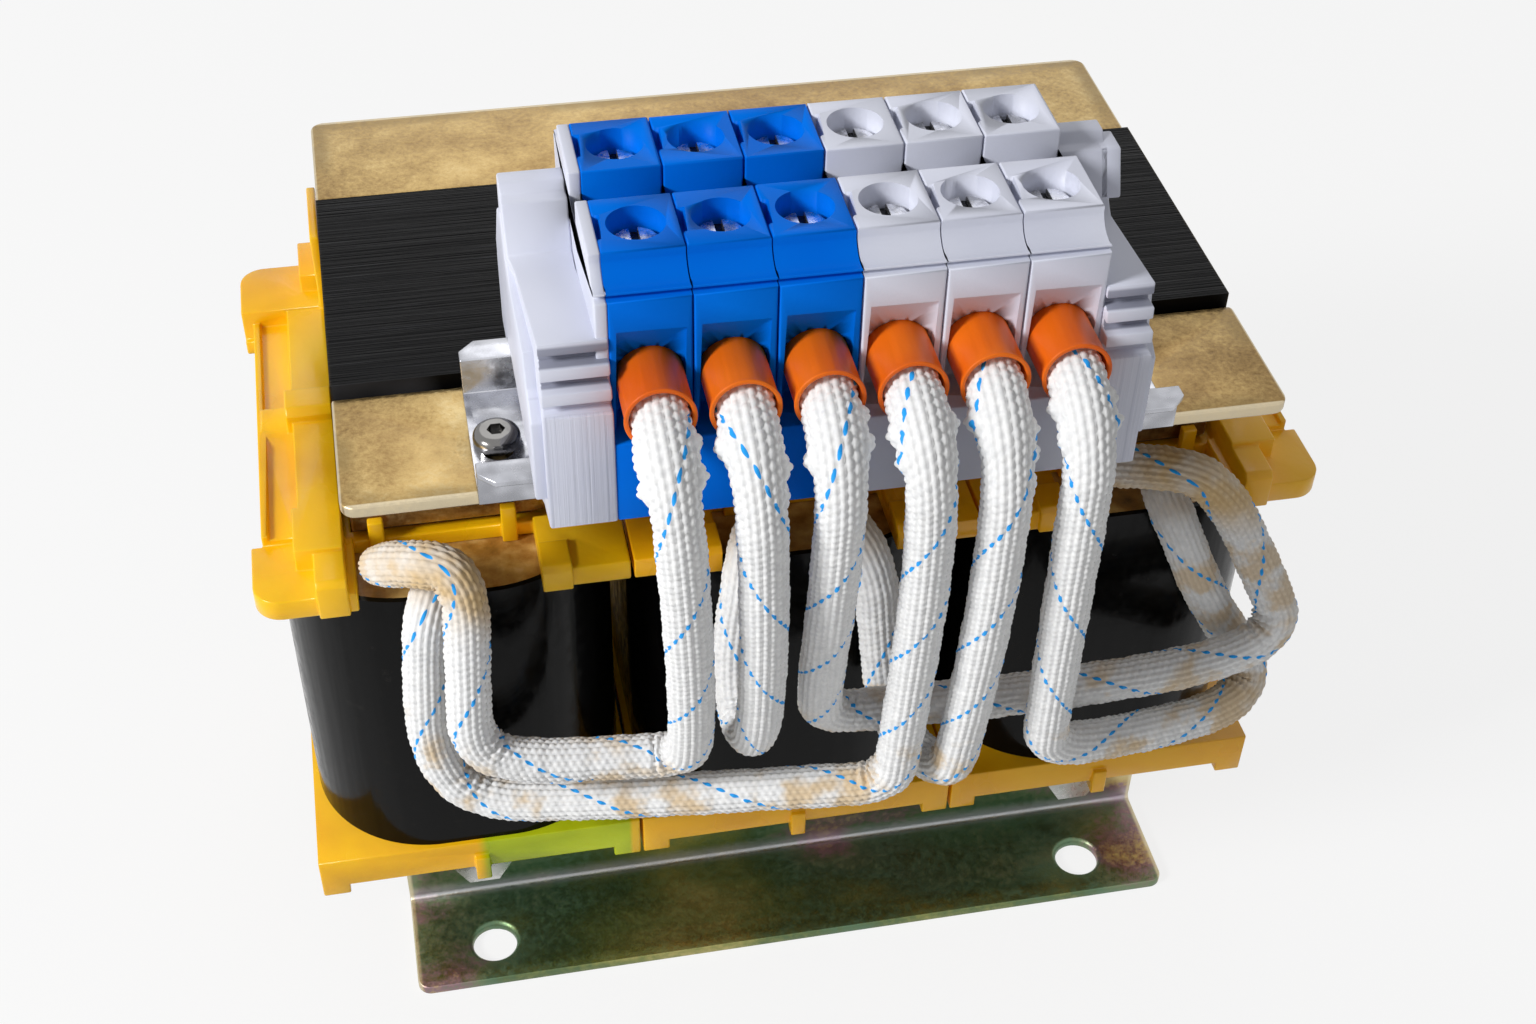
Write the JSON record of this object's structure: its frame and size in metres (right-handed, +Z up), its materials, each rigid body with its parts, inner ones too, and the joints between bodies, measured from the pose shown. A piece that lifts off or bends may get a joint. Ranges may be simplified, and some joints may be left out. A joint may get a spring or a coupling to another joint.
{
  "type": "three-phase filter reactor",
  "caption": "Three-phase reactor on a laminated gapped core with bobbin coils, angle feet and a railed row of feed-through terminals.",
  "frame": {"origin": "floor level at the centre of the four holes in the feet", "axes": "+X along the core, -Y towards the side with the leads, +Z up"},
  "size_m": [0.1832, 0.1415, 0.171],
  "materials": {
    "core_lacquer": "thin black lacquer over stacked laminations",
    "gap_board": "insulating board",
    "amber_plastic": "glossy amber moulding",
    "winding_copper": "enamelled copper",
    "black_film": "glossy black film wrap",
    "impregnated_paper": "varnished insulating paper",
    "passivated_steel": "yellow passivated zinc",
    "fastener_steel": "bright zinc",
    "rail_zinc": "bright zinc",
    "dark_steel": "dark steel",
    "blue_plastic": "bright blue moulding",
    "grey_plastic": "pale grey moulding",
    "bar_brass": "tinned copper alloy",
    "braid_white": "white braided sleeve with a blue tracer",
    "orange_plastic": "orange sleeve"
  },
  "bodies": {
    "root": {"air_gap_spacers": "gap_board", "bobbin_left": "amber_plastic", "bobbin_middle": "amber_plastic", "bobbin_right": "amber_plastic", "bolt_sleeves": "gap_board", "clamp_cages": "fastener_steel", "clamp_screws": "fastener_steel", "coil_wrap_left": "black_film", "coil_wrap_middle": "black_film", "coil_wrap_right": "black_film", "core_leg_left": "core_lacquer", "core_leg_middle": "core_lacquer", "core_leg_right": "core_lacquer", "core_yoke_bottom": "core_lacquer", "core_yoke_top": "core_lacquer", "current_bars": "bar_brass", "end_clamp_left": "grey_plastic", "end_clamp_right": "grey_plastic", "end_plate": "grey_plastic", "ferrules": "bar_brass", "foot_angle_front": "passivated_steel", "foot_angle_rear": "passivated_steel", "lead_1": "braid_white", "lead_2": "braid_white", "lead_3": "braid_white", "lead_4": "braid_white", "lead_5": "braid_white", "lead_6": "braid_white", "margin_paper_left": "impregnated_paper", "margin_paper_middle": "impregnated_paper", "margin_paper_right": "impregnated_paper", "mounting_rail": "rail_zinc", "rail_nuts": "fastener_steel", "rail_screws": "dark_steel", "terminal_1": "blue_plastic", "terminal_2": "blue_plastic", "terminal_3": "blue_plastic", "terminal_4": "grey_plastic", "terminal_5": "grey_plastic", "terminal_6": "grey_plastic", "top_angle_front": "passivated_steel", "top_angle_rear": "passivated_steel", "winding_left": "winding_copper", "winding_middle": "winding_copper", "winding_right": "winding_copper", "wire_collars": "orange_plastic", "yoke_bolts": "fastener_steel", "yoke_nuts": "fastener_steel", "yoke_washers": "fastener_steel"}
  },
  "joints": []
}
